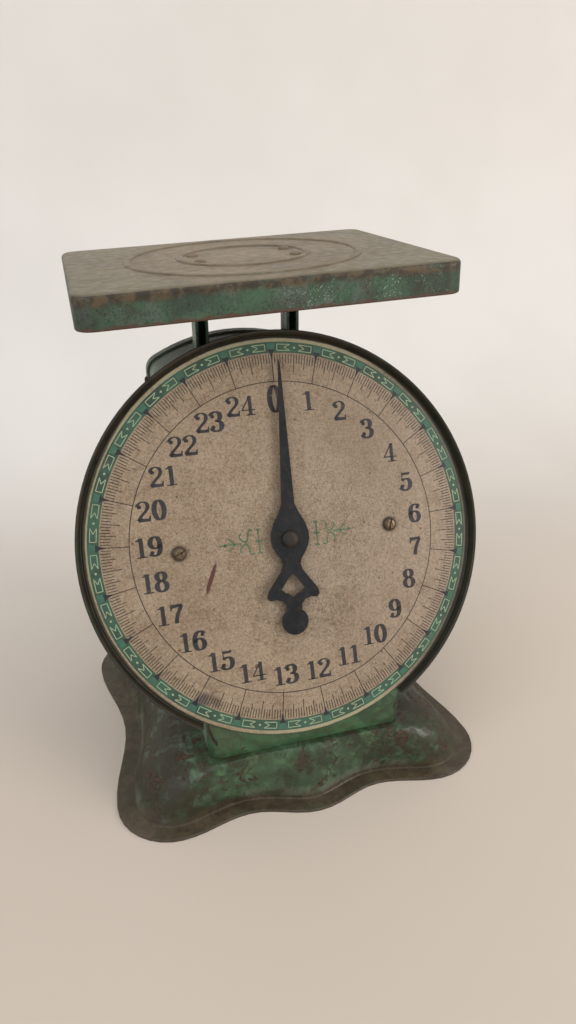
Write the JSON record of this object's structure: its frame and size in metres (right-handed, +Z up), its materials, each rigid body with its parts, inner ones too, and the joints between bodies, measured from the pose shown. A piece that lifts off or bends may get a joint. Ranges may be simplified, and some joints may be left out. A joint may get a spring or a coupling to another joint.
{
  "type": "kitchen scale",
  "caption": "Slanting-dial spring kitchen scale: pressed-steel base and arched housing, round dial with pointer, flat platform on two posts, rack-and-pinion movement.",
  "frame": {"origin": "bottom centre of the bounding box, on the surface that the scale stands on", "axes": "+Z up; the dial faces -Y; +X is to the right of someone who reads the dial"},
  "size_m": [0.2108, 0.2135, 0.2668],
  "materials": {
    "green_enamel": "aged semi-gloss enamel",
    "rim_enamel": "browned and worn enamel",
    "dial_print": "yellowed matt lacquer",
    "worn_tray": "enamel worn to tarnished steel",
    "blued_steel": "dark blue-grey lacquer",
    "steel_parts": "dull plated",
    "bright_steel": "turned",
    "spring_wire": "drawn",
    "brass_parts": "dull"
  },
  "bodies": {
    "stand": {"base": "green_enamel", "housing": "green_enamel", "front_pan": "rim_enamel", "back_cover": "green_enamel", "cover_screws": "steel_parts", "base_screws": "steel_parts", "base_nuts": "steel_parts", "dial_plate": "dial_print", "dial_screws": "brass_parts", "dial_nuts": "steel_parts", "pan_rivets": "steel_parts", "movement_frame": "steel_parts", "frame_rivets": "steel_parts", "front_bearing": "brass_parts", "rear_bearing": "brass_parts", "rack_keeper": "steel_parts", "keeper_screws": "steel_parts", "hanger_bracket": "steel_parts", "link_bracket": "steel_parts", "link_rod": "bright_steel", "left_spring": "spring_wire", "right_spring": "spring_wire"},
    "carriage": {"platform": "worn_tray", "platform_rivets": "steel_parts", "left_post": "green_enamel", "right_post": "green_enamel", "post_rivets": "steel_parts", "crosshead": "steel_parts", "rack_arm": "steel_parts"},
    "pointer_assembly": {"pointer": "blued_steel", "pointer_boss": "blued_steel", "pointer_collar": "brass_parts", "arbor": "bright_steel", "pinion": "brass_parts"},
    "rack_assembly": {"rack": "bright_steel", "rack_pin": "bright_steel"},
    "link_assembly": {"check_link": "steel_parts", "link_pin": "bright_steel"},
    "zero_assembly": {"zero_screw": "bright_steel", "zero_knob": "brass_parts", "screw_clip": "steel_parts"},
    "hanger_assembly": {"spring_hanger": "steel_parts"}
  },
  "joints": [
    {"name": "platform_travel", "type": "slide", "parent": "stand", "child": "carriage", "axis": [0, 0, -1], "range_m": [0, 0.0218], "stiffness_N_per_m": 5100, "springref_m": -0.003, "deforming": ["left_spring", "right_spring"]},
    {"name": "pointer_turn", "type": "hinge", "parent": "stand", "child": "pointer_assembly", "pos_m": [0, -0.04956, 0.1323], "axis": [0, 0.9272, -0.3746], "range_deg": [0, 360]},
    {"name": "rack_slide", "type": "slide", "parent": "stand", "child": "rack_assembly", "axis": [0, -0.3746, -0.9272], "range_m": [0, 0.02356]},
    {"name": "link_swing", "type": "hinge", "parent": "stand", "child": "link_assembly", "pos_m": [0, -0.05626, 0.06008], "axis": [-1, 0, 0], "range_deg": [0, 15.7]},
    {"name": "zero_screw_turn", "type": "hinge", "parent": "stand", "child": "zero_assembly", "pos_m": [0, 0.03174, 0.2], "axis": [0, 0, -1], "range_deg": [-1080, 1080]},
    {"name": "hanger_slide", "type": "slide", "parent": "stand", "child": "hanger_assembly", "axis": [0, 0, 1], "range_m": [-0.0024, 0.0024]}
  ],
  "couplings": [
    {"joint": "pointer_turn", "follows": "platform_travel", "rad_per_m": 287.61},
    {"joint": "rack_slide", "follows": "platform_travel", "ratio": 1.0785},
    {"joint": "link_swing", "follows": "platform_travel", "rad_per_m": 12.539},
    {"joint": "zero_screw_turn", "follows": "hanger_slide", "rad_per_m": 7854}
  ]
}
